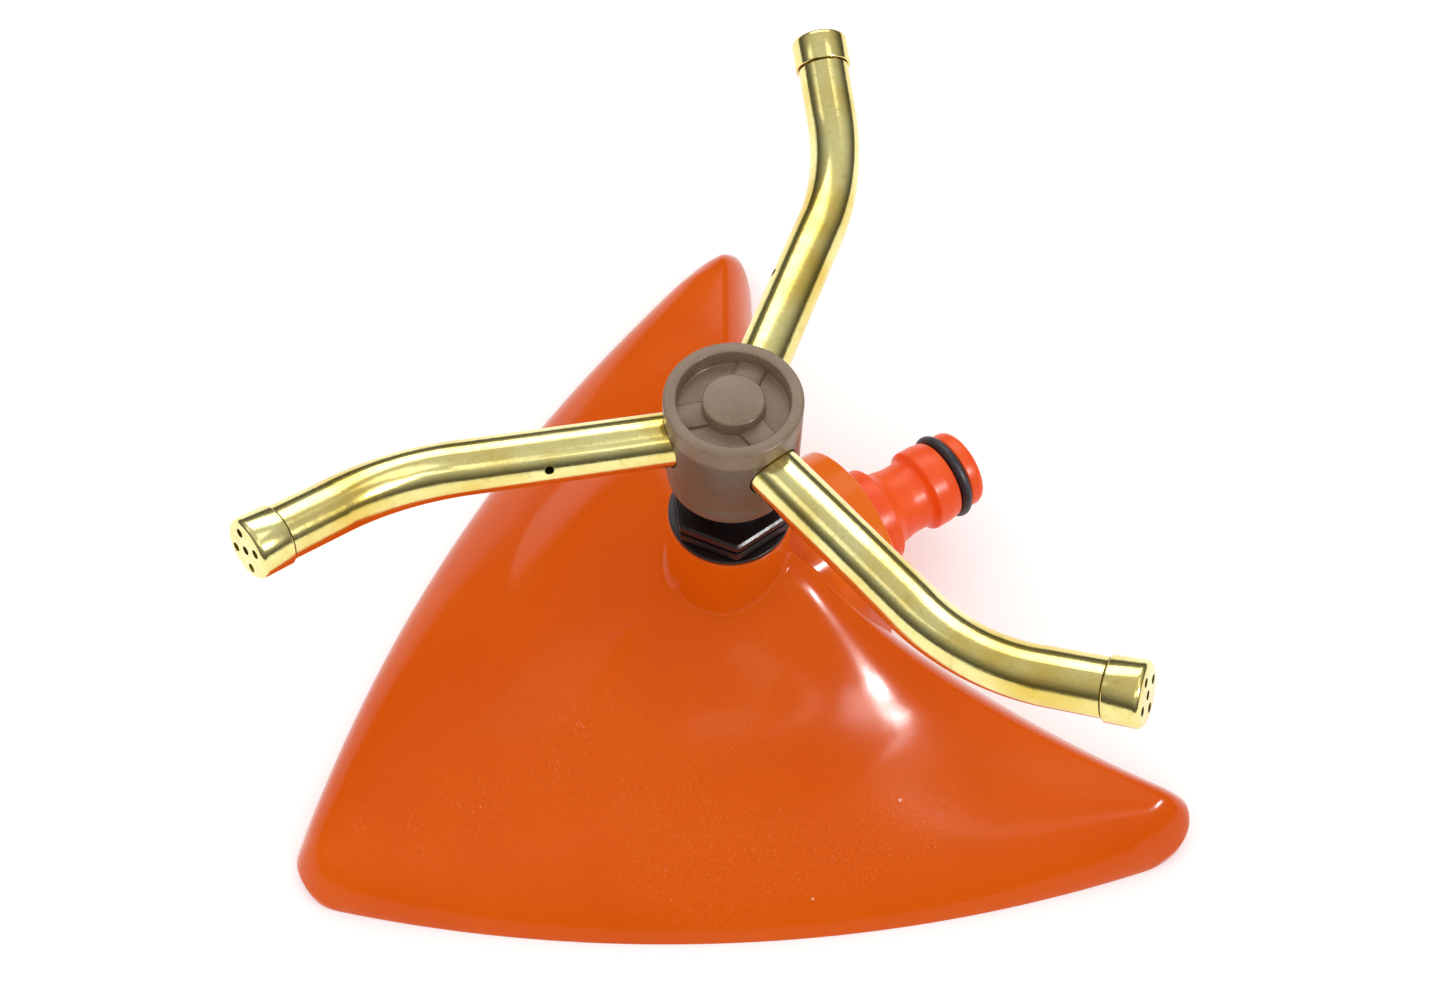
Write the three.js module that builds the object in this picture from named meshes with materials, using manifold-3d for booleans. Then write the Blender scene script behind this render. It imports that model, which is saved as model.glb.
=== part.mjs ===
// Three-arm rotating lawn sprinkler: a hollow delta-shaped base with a column, a hose connector
// at its back, and a hub with three bent brass tubes that spins on a fixed spindle.
// Millimetres, +Z up. The origin is on the spin axis at ground level; the connector points to +Y.
import * as THREE from "three";
import { mergeVertices } from "three/addons/utils/BufferGeometryUtils.js";
import Module from "manifold-3d";

const wasm = await Module();
wasm.setup();

// Clearances
const GAP = 0.3; // between pieces that touch
const RUN = 0.4; // between turning and fixed pieces

// Base: plan
const RIGHT_TIP_R = 101.3; // spin axis to the end of the right wing
const LEFT_TIP_R = 104.5;
const SIDE_R = 63.7; // spin axis to the middle of a long side
const SIDE_ARC = 310; // plan radius of the long sides
const RIDGE_AZ = 32.4; // direction of the right wing's ridge
const TRAIL = 7.1; // ridge to the wing's back edge
const NOSE_ROUND = 8.8;
const NOSE_TIP_R = 99.3; // spin axis to the end of the nose
const WING_ROUND = 5; // corner of a wing's end and long side
const TRAIL_ROUND = 11.6; // corner of a wing's end and back edge
const FLARE = 5.2; // how much wider the back face stands towards the column
const ROOT_BOW = 3; // how far the ridges bend back where they meet the column
const WALL = 2.4;
// Base: heights
const WING_H = 12.8;
const RIDGE_RISE = 31;
const PANEL_H = 12;
const PANEL_RISE = 20.8;
const RIB_T = 1.8;
// Column
const COL_TOP = 53.7;
const COL_R = 11.5;
const COL_FOOT_R = 12.1;
const COL_FOOT_Z = 32.3;
const COL_BORE_R = 8.9;
// Inlet housing at the back of the base
const INLET_Z = 21.2;
const HOUSING_R = 17.8;
const HOUSING_END = 30.7;
const SPIGOT_R = 6.8;
// Water post
const POST_R = COL_BORE_R - RUN;
const POST_TOP = 43.5;
const WATER_R = 5;
// Hose connector
const FLANGE_R = 10.3;
const FLANGE_T = 5;
const NECK_R = 7.4;
const SHOULDER_R = 8.85;
const NOSE_R = 8.3;
const GROOVE_R = 6.7;
const O_RING_R = 1.15;
const GASKET_T = 0.8;
const PORT_R = 4.6;
// Gland nut
const NUT_WASHER_T = 0.9;
const HEX_TOP = 60;
const HEX_R = 11.4; // to the corners
const HEX_AZ = 34; // direction of one corner
const NUT_COLLAR_R = 6.9;
const NUT_GROOVE = 0.9;
// Hub
const HUB_R = 11.95;
const HUB_TOP = 90.3;
const HUB_STEP = 72.7; // joint of the hub and its bottom ring
const HUB_BOTTOM = 68.7;
const RING_R = 11.5;
const DISH_R = 9.75;
const DISH_DEPTH = 3.2;
const BOSS_R = 5.35;
const BRIDGE_W = 4.9;
const BRIDGE_H = 0.8;
// Spindle
const SPINDLE_R = 4;
const SPINDLE_FLANGE_R = 6.6;
const SPINDLE_BORE_R = 2.4;
const SPINDLE_FOOT = 46;
const WASHER_T = 0.8;
// Arms
const ARM_Z = 80.8; // arm axes meet the spin axis here
const ARM_AZ = [249.4, 5.6, 126.4];
const ARM_RISE = 3.5; // slope of the inner part
const TIP_RISE = [14, 18.6, 19.7]; // slope of the outer part
const BEND = 29.5; // turn of the outer part seen from above
const CORNER_R = [57.8, 58.9, 58.6]; // spin axis to the corner of the bend
const OUTER_L = 28.5; // corner to the cap's face
const BEND_R = 42;
const TUBE_R = 4.75;
const TUBE_WALL = 1.4;
const SOCKET_END = 6; // spin axis to the bottom of a socket
const SEAL_T = 0.8;
const CAP_R = TUBE_R + 0.53;
const CAP_L = 5.9;
const CAP_FACE_T = 1.2;
const SWAGE_R = TUBE_R - 0.5; // tube end inside its cap
const JET_R = 0.75;
const JET_CIRCLE = 3.1;
const SIDE_JET_AT = 32.5;
const SIDE_JET_RISE = 25;

const rad = THREE.MathUtils.degToRad;
const { hypot, min, max, abs, sin, cos, pow, exp, PI } = Math;

// ---------- solids ----------
function solid(geometry) {
  const g = geometry.index ? geometry.toNonIndexed() : geometry.clone();
  g.deleteAttribute("normal");
  g.deleteAttribute("uv");
  const m = mergeVertices(g, 1e-4);
  const mesh = new wasm.Mesh({
    numProp: 3,
    vertProperties: new Float32Array(m.attributes.position.array),
    triVerts: new Uint32Array(m.index.array),
  });
  mesh.merge();
  return new wasm.Manifold(mesh);
}

function geometryOf(body) {
  const m = body.getMesh();
  const g = new THREE.BufferGeometry();
  const p = new Float32Array(m.numVert * 3);
  for (let i = 0; i < m.numVert; i += 1) {
    p.set(m.vertProperties.subarray(i * m.numProp, i * m.numProp + 3), i * 3);
  }
  g.setAttribute("position", new THREE.BufferAttribute(p, 3));
  g.setIndex(new THREE.BufferAttribute(new Uint32Array(m.triVerts), 1));
  g.computeVertexNormals();
  return g;
}

// A turned body about Z from [radius, height] points, outer side first from bottom to top.
function turned(points, sides = 24) {
  const profile = points.map(([r, z]) => new THREE.Vector2(r, z));
  return new THREE.LatheGeometry(profile, sides).rotateX(PI / 2);
}

// A ring or tube about Z.
function tube(outer, inner, z0, z1, sides = 24) {
  return turned([[inner, z0], [outer, z0], [outer, z1], [inner, z1], [inner, z0]], sides);
}

function rod(r, z0, z1, sides = 24) {
  return turned([[0, z0], [r, z0], [r, z1], [0, z1]], sides);
}

// Turns a body made about Z so that it points along +Y at the inlet's height.
function alongInlet(geometry) {
  return geometry.rotateX(-PI / 2).translate(0, 0, INLET_Z);
}

function block(x, y, z, cx, cy, cz) {
  return new THREE.BoxGeometry(x, y, z).translate(cx, cy, cz);
}

// ---------- base ----------
// The smaller of two distances, with the corner between them rounded.
function rounded(a, b, k) {
  return a < k && b < k ? k - hypot(k - a, k - b) : min(a, b);
}

// Distances from a plan point to the base's edges, with the base shrunk by inset.
function edges(x, y, inset) {
  const ax = abs(x);
  const away = SIDE_R - SIDE_ARC;
  const cx = away * cos(rad(-30));
  const cy = away * sin(rad(-30));
  const near = SIDE_ARC - inset - hypot(ax - cx, y - cy);
  const far = SIDE_ARC - inset - hypot(-ax - cx, y - cy);
  const side = rounded(near, far, NOSE_ROUND);
  const wing = x > 0 ? RIGHT_TIP_R : LEFT_TIP_R;
  const tip = (y > 0 ? wing : NOSE_TIP_R) - inset - hypot(x, y);
  const front = rounded(side, tip, WING_ROUND);
  const along = ax * cos(rad(RIDGE_AZ)) + y * sin(rad(RIDGE_AZ));
  const bow = ROOT_BOW * exp(-pow(along / 22, 2));
  const behind = y * cos(rad(RIDGE_AZ)) - ax * sin(rad(RIDGE_AZ)) - bow;
  const back = TRAIL + FLARE * exp(-pow(max(along - 36, 0) / 34, 2));
  const rear = back - inset - behind;
  return { side, tip, rear, behind, back, all: rounded(front, rear, TRAIL_ROUND) };
}

// Plan radius of the base in one direction.
function planRadius(az, inset) {
  let lo = 5;
  let hi = LEFT_TIP_R + 5;
  for (let i = 0; i < 40; i += 1) {
    const mid = (lo + hi) / 2;
    if (edges(mid * cos(az), mid * sin(az), inset).all > 0) lo = mid;
    else hi = mid;
  }
  return (lo + hi) / 2;
}

// Rounded shoulder: 0 at the edge, 1 from width w inwards. A larger m makes the edge steeper.
function shoulder(d, w, n, m) {
  const t = min(max(d / w, 0), 1);
  return pow(max(1 - pow(1 - t, n), 0), 1 / m);
}

// Height of the base's skin over a plan point.
function skinHeight(x, y, inset) {
  const r = hypot(x, y);
  const e = edges(x, y, inset);
  const out = min(max((r - 45) / 47, 0), 1);
  const ridge = WING_H + RIDGE_RISE * exp(-pow(max(r - 12, 0) / 31, 1.4));
  const panel = PANEL_H + PANEL_RISE * exp(-pow(max(r - 10, 0) / 38, 2));
  const near = e.behind > 0 ? 1 : exp(-pow(e.behind / 13, 2));
  const top = panel + (ridge - panel) * near - inset;
  const side = shoulder(e.side, 36 - 22 * out, 2.1 + 0.4 * out, 1.15 + 0.4 * out);
  return top * side * shoulder(e.tip, 9.5, 2.3, 2.2) * shoulder(e.rear, e.back, 1.5, 1.3);
}

// Directions of the plan outline from the nose round to the back, closest where it turns most.
function planDirections(inset, count) {
  const fine = [];
  for (let i = 0; i <= 1440; i += 1) {
    const az = -PI / 2 + (PI * i) / 1440;
    const r = planRadius(az, inset);
    fine.push({ az, x: r * cos(az), y: r * sin(az), at: 0 });
  }
  for (let i = 1; i < fine.length; i += 1) {
    const a = fine[i - 1];
    const b = fine[i];
    const c = fine[min(i + 1, fine.length - 1)];
    const turn = abs(Math.atan2(
      (b.x - a.x) * (c.y - b.y) - (b.y - a.y) * (c.x - b.x),
      (b.x - a.x) * (c.x - b.x) + (b.y - a.y) * (c.y - b.y),
    ));
    b.at = a.at + hypot(b.x - a.x, b.y - a.y) + 14 * turn;
  }
  const total = fine[fine.length - 1].at;
  const half = [];
  for (let k = 0; k <= count; k += 1) {
    const want = (total * k) / count;
    half.push(fine.find((f) => f.at >= want - 1e-9).az);
  }
  const other = half.slice(1, -1).reverse().map((az) => PI - az);
  return half.concat(other);
}

// The base filled solid under its skin, down to floor.
function skinBody(inset, floor, count, rings) {
  const directions = planDirections(inset, count);
  const n = directions.length;
  const p = [0, 0, skinHeight(0, 0, inset)];
  for (let j = 1; j <= rings; j += 1) {
    const v = sin((PI / 2) * (j / rings));
    for (const az of directions) {
      const r = planRadius(az, inset) * v;
      const x = r * cos(az);
      const y = r * sin(az);
      p.push(x, y, j === rings ? 0 : skinHeight(x, y, inset));
    }
  }
  const tri = [];
  const at = (j, i) => 1 + (j - 1) * n + ((i + n) % n);
  for (let i = 0; i < n; i += 1) tri.push(0, at(1, i), at(1, i + 1));
  for (let j = 1; j < rings; j += 1) {
    for (let i = 0; i < n; i += 1) {
      tri.push(at(j, i), at(j + 1, i), at(j + 1, i + 1));
      tri.push(at(j, i), at(j + 1, i + 1), at(j, i + 1));
    }
  }
  let rim = rings;
  if (floor < 0) {
    for (let i = 0; i < n; i += 1) {
      const k = at(rings, i) * 3;
      p.push(p[k], p[k + 1], floor);
    }
    rim = rings + 1;
    for (let i = 0; i < n; i += 1) {
      tri.push(at(rings, i), at(rim, i), at(rim, i + 1));
      tri.push(at(rings, i), at(rim, i + 1), at(rings, i + 1));
    }
  }
  const centre = p.length / 3;
  p.push(0, 0, floor);
  for (let i = 0; i < n; i += 1) tri.push(centre, at(rim, i + 1), at(rim, i));
  const g = new THREE.BufferGeometry();
  g.setAttribute("position", new THREE.BufferAttribute(new Float32Array(p), 3));
  g.setIndex(tri);
  return solid(g);
}

// The arched housing that holds the hose connector.
function housing(inset, end, floor) {
  const r = HOUSING_R - inset;
  const arch = new THREE.Shape();
  arch.moveTo(-r, floor);
  arch.lineTo(r, floor);
  arch.lineTo(r, INLET_Z);
  arch.absarc(0, INLET_Z, r, 0, PI, false);
  arch.lineTo(-r, floor);
  const g = new THREE.ExtrudeGeometry(arch, { depth: end, bevelEnabled: false, curveSegments: 14 });
  return solid(g.rotateX(PI / 2).translate(0, end, 0));
}

function columnBody() {
  const flare = 1.6;
  return solid(turned([
    [0, 26],
    [COL_FOOT_R + flare, 26],
    [COL_FOOT_R + flare, COL_FOOT_Z - 1.2],
    [COL_FOOT_R + 0.5, COL_FOOT_Z - 0.1],
    [COL_FOOT_R, COL_FOOT_Z + 1.2],
    [COL_R, COL_TOP - 0.3],
    [COL_R - 0.3, COL_TOP],
    [0, COL_TOP],
  ], 32));
}

function baseShell() {
  const column = columnBody();
  const outside = skinBody(0, 0, 38, 11)
    .add(housing(0, HOUSING_END, 0))
    .add(column);
  const hollow = skinBody(WALL, -6, 22, 6).add(housing(WALL, HOUSING_END - WALL, -6));
  let body = outside.subtract(hollow).add(column);
  for (const az of [-90, 30, 150]) {
    const rib = block(LEFT_TIP_R, RIB_T, 60, LEFT_TIP_R / 2, 0, 30 + 0.8).rotateZ(rad(az));
    body = body.add(solid(rib).intersect(outside));
  }
  const way = solid(rod(COL_BORE_R, -5, COL_TOP + 5));
  const pipe = solid(alongInlet(rod(10 + RUN, -12, HOUSING_END - WALL)));
  const mouth = solid(alongInlet(rod(SPIGOT_R + GAP, 0, HOUSING_END + 5)));
  return body.subtract(way).subtract(pipe).subtract(mouth);
}

// ---------- water post ----------
function waterPost() {
  const far = HOUSING_END - WALL - GAP;
  const stem = solid(rod(POST_R, 0, POST_TOP, 36));
  const pipe = solid(alongInlet(rod(9.9, 0, far, 36)));
  const rise = solid(rod(WATER_R, INLET_Z - 6, POST_TOP + 1));
  const bore = solid(alongInlet(rod(WATER_R, 0, far + 1)));
  const socket = solid(alongInlet(rod(SPIGOT_R + GAP, far - 8.5, far + 1)));
  return stem.add(pipe).subtract(rise).subtract(bore).subtract(socket);
}

// ---------- hose connector ----------
const FLANGE_Y = HOUSING_END + GASKET_T + 2 * GAP;
const NECK_Y = FLANGE_Y + FLANGE_T;
const SHOULDER_Y = NECK_Y + 10.2;
const GROOVE_Y = SHOULDER_Y + 5.6;
const O_RING_Y = GROOVE_Y + O_RING_R + 0.25;
const CONNECTOR_END = GROOVE_Y + 6.3;

function inletConnector() {
  const y0 = HOUSING_END - WALL - 8;
  return turned([
    [PORT_R, y0],
    [SPIGOT_R, y0],
    [SPIGOT_R, FLANGE_Y],
    [FLANGE_R - 0.5, FLANGE_Y],
    [FLANGE_R, FLANGE_Y + 0.5],
    [FLANGE_R, NECK_Y - 0.7],
    [FLANGE_R - 0.7, NECK_Y],
    [8.9, NECK_Y + 0.4],
    [8.1, NECK_Y + 2],
    [7.6, NECK_Y + 4],
    [NECK_R, NECK_Y + 6.5],
    [7.6, SHOULDER_Y - 0.8],
    [8.3, SHOULDER_Y],
    [SHOULDER_R, SHOULDER_Y + 0.9],
    [SHOULDER_R, SHOULDER_Y + 3],
    [SHOULDER_R - 0.35, GROOVE_Y],
    [GROOVE_R, GROOVE_Y],
    [GROOVE_R, GROOVE_Y + 2 * O_RING_R + 0.5],
    [NOSE_R, GROOVE_Y + 2 * O_RING_R + 0.5],
    [NOSE_R, CONNECTOR_END - 1.6],
    [NOSE_R - 0.5, CONNECTOR_END - 0.5],
    [NOSE_R - 1.6, CONNECTOR_END],
    [PORT_R + 0.5, CONNECTOR_END],
    [PORT_R, CONNECTOR_END - 0.5],
    [PORT_R, y0],
  ], 24);
}

function connectorRing() {
  const ring = new THREE.TorusGeometry(GROOVE_R + GAP + O_RING_R, O_RING_R, 8, 28);
  return alongInlet(ring.translate(0, 0, O_RING_Y));
}

function inletGasket() {
  const y0 = HOUSING_END + GAP;
  return alongInlet(tube(FLANGE_R - 1, SPIGOT_R + GAP, y0, y0 + GASKET_T));
}

// ---------- gland nut and spindle ----------
const WASHER_Z = COL_TOP + GAP;
const HEX_Z = WASHER_Z + NUT_WASHER_T + GAP;
const SEAL_Z = POST_TOP + GAP;

function nutWasher() {
  return tube(COL_R - 0.15, COL_BORE_R, WASHER_Z, WASHER_Z + NUT_WASHER_T, 36);
}

function glandNut() {
  const spigot = COL_BORE_R - RUN;
  const hex = new THREE.CylinderGeometry(HEX_R, HEX_R, HEX_TOP - HEX_Z, 6)
    .rotateX(PI / 2)
    .rotateZ(rad(HEX_AZ - 90))
    .translate(0, 0, (HEX_TOP + HEX_Z) / 2);
  const bevel = rod(HEX_R + 0.1, HEX_Z - 1, HEX_TOP - 0.5, 36);
  const crown = turned([[0, HEX_TOP - 0.6], [HEX_R + 0.1, HEX_TOP - 0.6],
    [HEX_R - 0.7, HEX_TOP + 0.2], [0, HEX_TOP + 0.2]], 36);
  const mid = (HEX_TOP + HEX_Z) / 2;
  const groove = tube(HEX_R + 2, HEX_R - 1.5, mid - NUT_GROOVE / 2, mid + NUT_GROOVE / 2, 36);
  const collar = turned([[0, HEX_TOP - 1], [NUT_COLLAR_R, HEX_TOP - 1],
    [NUT_COLLAR_R, HUB_BOTTOM - RUN - 0.4], [NUT_COLLAR_R - 0.4, HUB_BOTTOM - RUN],
    [0, HUB_BOTTOM - RUN]], 32);
  const stem = rod(spigot, SEAL_Z + SEAL_T + GAP, HEX_Z + 0.5, 36);
  const bore = rod(SPINDLE_R + GAP, 30, 80);
  return solid(hex)
    .intersect(solid(bevel).add(solid(crown)))
    .subtract(solid(groove))
    .add(solid(collar))
    .add(solid(stem))
    .subtract(solid(bore));
}

function glandSeal() {
  return tube(POST_R - 0.3, WATER_R + 0.2, SEAL_Z, SEAL_Z + SEAL_T, 32);
}

// The spindle's flange turns between two thrust washers in the hub's bottom ring.
const RING_FLOOR = 1.5;
const LOWER_WASHER_Z = HUB_BOTTOM + RING_FLOOR + GAP;
const FLANGE_Z = LOWER_WASHER_Z + WASHER_T + GAP;
const SPINDLE_FLANGE_T = 1.6;
const UPPER_WASHER_Z = FLANGE_Z + SPINDLE_FLANGE_T + GAP;
const POCKET_TOP = UPPER_WASHER_Z + WASHER_T + GAP;
const POCKET_R = SPINDLE_FLANGE_R + RUN + 0.3;
const SPINDLE_TOP = HUB_TOP - DISH_DEPTH - 1.8 - RUN;

function spindle() {
  const body = solid(turned([
    [0, SPINDLE_FOOT],
    [SPINDLE_R, SPINDLE_FOOT],
    [SPINDLE_R, FLANGE_Z],
    [SPINDLE_FLANGE_R, FLANGE_Z],
    [SPINDLE_FLANGE_R, FLANGE_Z + SPINDLE_FLANGE_T],
    [SPINDLE_R, FLANGE_Z + SPINDLE_FLANGE_T],
    [SPINDLE_R, SPINDLE_TOP - 0.5],
    [SPINDLE_R - 0.5, SPINDLE_TOP],
    [0, SPINDLE_TOP],
  ]));
  let cut = solid(rod(SPINDLE_BORE_R, SPINDLE_FOOT - 1, ARM_Z + 1.8, 24));
  for (const az of ARM_AZ) {
    const port = rod(1.5, 0, SPINDLE_R + 1, 12).rotateY(PI / 2).rotateZ(rad(az));
    cut = cut.add(solid(port.translate(0, 0, ARM_Z)));
  }
  return body.subtract(cut);
}

function thrustWasher(z) {
  return tube(SPINDLE_FLANGE_R, SPINDLE_R + RUN, z, z + WASHER_T, 28);
}

// ---------- hub ----------
// Puts a body made along +X from the spin axis onto an arm's sloping inner axis.
function ontoArm(geometry, i) {
  return geometry.rotateY(-rad(ARM_RISE)).rotateZ(rad(ARM_AZ[i])).translate(0, 0, ARM_Z);
}

function alongX(geometry) {
  return geometry.rotateY(PI / 2);
}

function rotorHub() {
  const floorZ = HUB_TOP - DISH_DEPTH;
  let body = solid(turned([
    [0, HUB_STEP + GAP],
    [HUB_R - 0.2, HUB_STEP + GAP],
    [HUB_R, HUB_STEP + GAP + 0.2],
    [HUB_R, HUB_TOP - 0.35],
    [HUB_R - 0.35, HUB_TOP],
    [DISH_R + 0.15, HUB_TOP],
    [DISH_R, HUB_TOP - 0.2],
    [DISH_R, floorZ],
    [BOSS_R, floorZ],
    [BOSS_R, HUB_TOP - 0.5],
    [BOSS_R - 0.25, HUB_TOP - 0.25],
    [0, HUB_TOP - 0.25],
  ], 36));
  for (let i = 0; i < 3; i += 1) {
    const w = BRIDGE_W / 2;
    const arch = new THREE.Shape();
    arch.moveTo(-w, -1);
    arch.lineTo(w, -1);
    arch.lineTo(w, BRIDGE_H - 0.25);
    arch.lineTo(w * 0.45, BRIDGE_H);
    arch.lineTo(-w * 0.45, BRIDGE_H);
    arch.lineTo(-w, BRIDGE_H - 0.25);
    arch.lineTo(-w, -1);
    const reach = DISH_R - BOSS_R + 1;
    const bar = new THREE.ExtrudeGeometry(arch, { depth: reach, bevelEnabled: false })
      .rotateX(PI / 2)
      .rotateZ(PI / 2)
      .translate(BOSS_R - 0.5, 0, floorZ)
      .rotateZ(rad(ARM_AZ[i]));
    body = body.add(solid(bar));
  }
  let cut = solid(rod(SPINDLE_R + RUN, 60, SPINDLE_TOP + RUN));
  cut = cut.add(solid(rod(POCKET_R, 60, POCKET_TOP)));
  for (let i = 0; i < 3; i += 1) {
    cut = cut.add(solid(ontoArm(alongX(rod(TUBE_R + 0.2, SOCKET_END, HUB_R + 3, 20)), i)));
    cut = cut.add(solid(ontoArm(alongX(rod(2.6, 1, SOCKET_END + 1, 10)), i)));
  }
  return body.subtract(cut);
}

function hubBottomRing() {
  const z1 = HUB_STEP;
  return turned([
    [SPINDLE_R + RUN, HUB_BOTTOM],
    [RING_R - 0.4, HUB_BOTTOM],
    [RING_R, HUB_BOTTOM + 0.4],
    [RING_R, z1],
    [POCKET_R, z1],
    [POCKET_R, HUB_BOTTOM + RING_FLOOR],
    [SPINDLE_R + RUN, HUB_BOTTOM + RING_FLOOR],
    [SPINDLE_R + RUN, HUB_BOTTOM],
  ], 36);
}

// ---------- arms ----------
function heading(az, rise) {
  const c = cos(rad(rise));
  return new THREE.Vector3(c * cos(rad(az)), c * sin(rad(az)), sin(rad(rise)));
}

// Centre line of an arm: straight, one round bend, straight.
function armLine(i) {
  const d1 = heading(ARM_AZ[i], ARM_RISE);
  const d2 = heading(ARM_AZ[i] + BEND, TIP_RISE[i]);
  const origin = new THREE.Vector3(0, 0, ARM_Z);
  const corner = origin.clone().addScaledVector(d1, CORNER_R[i]);
  const turn = d1.angleTo(d2);
  const back = BEND_R * Math.tan(turn / 2);
  const a = corner.clone().addScaledVector(d1, -back);
  const b = corner.clone().addScaledVector(d2, back);
  const axis = d1.clone().cross(d2).normalize();
  const centre = a.clone().addScaledVector(axis.clone().cross(d1), BEND_R);
  return { d1, d2, origin, corner, turn, a, b, axis, centre };
}

class ArmCurve extends THREE.Curve {
  constructor(line, start, end) {
    super();
    this.line = line;
    this.start = start;
    this.end = end;
    this.l1 = start.distanceTo(line.a);
    this.l2 = BEND_R * line.turn;
    this.l3 = line.b.distanceTo(end);
  }

  // Few steps along the straight parts and most of them round the bend.
  getUtoTmapping(u) {
    const { l1, l2, l3 } = this;
    const all = l1 + l2 + l3;
    if (u < 0.15) return ((u / 0.15) * l1) / all;
    if (u > 0.9) return (l1 + l2 + ((u - 0.9) / 0.1) * l3) / all;
    return (l1 + ((u - 0.15) / 0.75) * l2) / all;
  }

  getPoint(t, target = new THREE.Vector3()) {
    const { line, l1, l2, l3 } = this;
    const s = t * (l1 + l2 + l3);
    if (s <= l1) return target.copy(this.start).addScaledVector(line.d1, s);
    if (s >= l1 + l2) return target.copy(line.b).addScaledVector(line.d2, s - l1 - l2);
    const spoke = line.a.clone().sub(line.centre);
    spoke.applyAxisAngle(line.axis, (s - l1) / BEND_R);
    return target.copy(line.centre).add(spoke);
  }
}

// Length along the arm's outer axis from the corner to the place where the cap begins.
const CAP_START = OUTER_L - CAP_L;
const TUBE_START = SOCKET_END + SEAL_T + 2 * GAP;

function section(r, sides) {
  const points = [];
  for (let k = 0; k < sides; k += 1) {
    const a = (2 * PI * k) / sides;
    points.push(new THREE.Vector2(r * cos(a), r * sin(a)));
  }
  return new THREE.Shape(points);
}

function sweep(line, from, to, r, steps) {
  return solid(new THREE.ExtrudeGeometry(section(r, 18), {
    steps,
    bevelEnabled: false,
    extrudePath: new ArmCurve(line, from, to),
  }));
}

// Moves a body made about +Z onto the outer axis, at a length from the corner.
function ontoTip(geometry, line, length) {
  const q = new THREE.Quaternion().setFromUnitVectors(new THREE.Vector3(0, 0, 1), line.d2);
  const p = line.corner.clone().addScaledVector(line.d2, length);
  return geometry.applyQuaternion(q).translate(p.x, p.y, p.z);
}

function armTube(i) {
  const line = armLine(i);
  const start = line.origin.clone().addScaledVector(line.d1, TUBE_START);
  const early = line.origin.clone().addScaledVector(line.d1, TUBE_START - 1);
  const end = line.corner.clone().addScaledVector(line.d2, CAP_START - GAP);
  const late = line.corner.clone().addScaledVector(line.d2, OUTER_L + 2);
  const inner = TUBE_R - TUBE_WALL;
  const nib = rod(SWAGE_R, CAP_START - GAP - 0.6, OUTER_L - CAP_FACE_T - GAP, 18);
  const jet = rod(0.8, 2, TUBE_R + 2, 10)
    .rotateX(-PI / 2)
    .rotateX(rad(SIDE_JET_RISE))
    .translate(SIDE_JET_AT, 0, 0);
  return sweep(line, start, end, TUBE_R, 13)
    .add(solid(ontoTip(nib, line, 0)))
    .subtract(sweep(line, early, late, inner, 13))
    .subtract(solid(ontoArm(jet, i)));
}

function armCap(i) {
  const line = armLine(i);
  let body = solid(turned([
    [0, CAP_START],
    [CAP_R - 0.2, CAP_START],
    [CAP_R, CAP_START + 0.2],
    [CAP_R, OUTER_L - 0.9],
    [CAP_R - 0.3, OUTER_L - 0.3],
    [CAP_R - 0.9, OUTER_L],
    [0, OUTER_L],
  ], 24));
  let cut = solid(rod(SWAGE_R + GAP, CAP_START - 1, OUTER_L - CAP_FACE_T, 18));
  for (let k = 0; k < 5; k += 1) {
    const a = rad(90 * k);
    const r = k === 4 ? 0 : JET_CIRCLE;
    const jet = rod(JET_R, OUTER_L - 3, OUTER_L + 1, 8).translate(r * cos(a), r * sin(a), 0);
    cut = cut.add(solid(jet));
  }
  body = body.subtract(cut);
  return ontoTip(geometryOf(body), line, 0);
}

function armSeal(i) {
  const seal = tube(TUBE_R - 0.2, 3, SOCKET_END + GAP, SOCKET_END + GAP + SEAL_T, 24);
  return ontoArm(alongX(seal), i);
}

// ---------- materials and assembly ----------
function finish(color, roughness, metalness = 0) {
  return new THREE.MeshStandardMaterial({ color, roughness, metalness });
}

const ORANGE = finish(0xe2611a, 0.25);
const RED_ORANGE = finish(0xf0582c, 0.4);
const TAUPE = finish(0x8a7560, 0.35);
const BLACK = finish(0x1b1718, 0.25);
const RUBBER = finish(0x262129, 0.6);
const WHITE = finish(0xe4e2da, 0.5);
const BRASS = finish(0xd8c86a, 0.25, 1);

const root = new THREE.Group();
const base = new THREE.Group();
const head = new THREE.Group();
root.add(base, head);

function piece(group, name, shape, material) {
  const geometry = shape.isBufferGeometry ? shape : geometryOf(shape);
  const mesh = new THREE.Mesh(geometry, material);
  mesh.name = name;
  group.add(mesh);
}

piece(base, "base_shell", baseShell(), ORANGE);
piece(base, "water_post", waterPost(), BLACK);
piece(base, "inlet_connector", alongInlet(inletConnector()), RED_ORANGE);
piece(base, "connector_o_ring", connectorRing(), RUBBER);
piece(base, "inlet_gasket", inletGasket(), RUBBER);
piece(base, "nut_washer", nutWasher(), BLACK);
piece(base, "gland_nut", glandNut(), BLACK);
piece(base, "gland_seal", glandSeal(), RUBBER);
piece(base, "spindle", spindle(), BLACK);
piece(head, "thrust_washer_lower", thrustWasher(LOWER_WASHER_Z), WHITE);
piece(head, "thrust_washer_upper", thrustWasher(UPPER_WASHER_Z), WHITE);
piece(head, "hub_bottom_ring", hubBottomRing(), TAUPE);
piece(head, "rotor_hub", rotorHub(), TAUPE);
for (let i = 0; i < 3; i += 1) {
  piece(head, "arm_tube_" + (i + 1), armTube(i), BRASS);
  piece(head, "arm_cap_" + (i + 1), armCap(i), BRASS);
  piece(head, "arm_seal_" + (i + 1), armSeal(i), RUBBER);
}

export default root;
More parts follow.
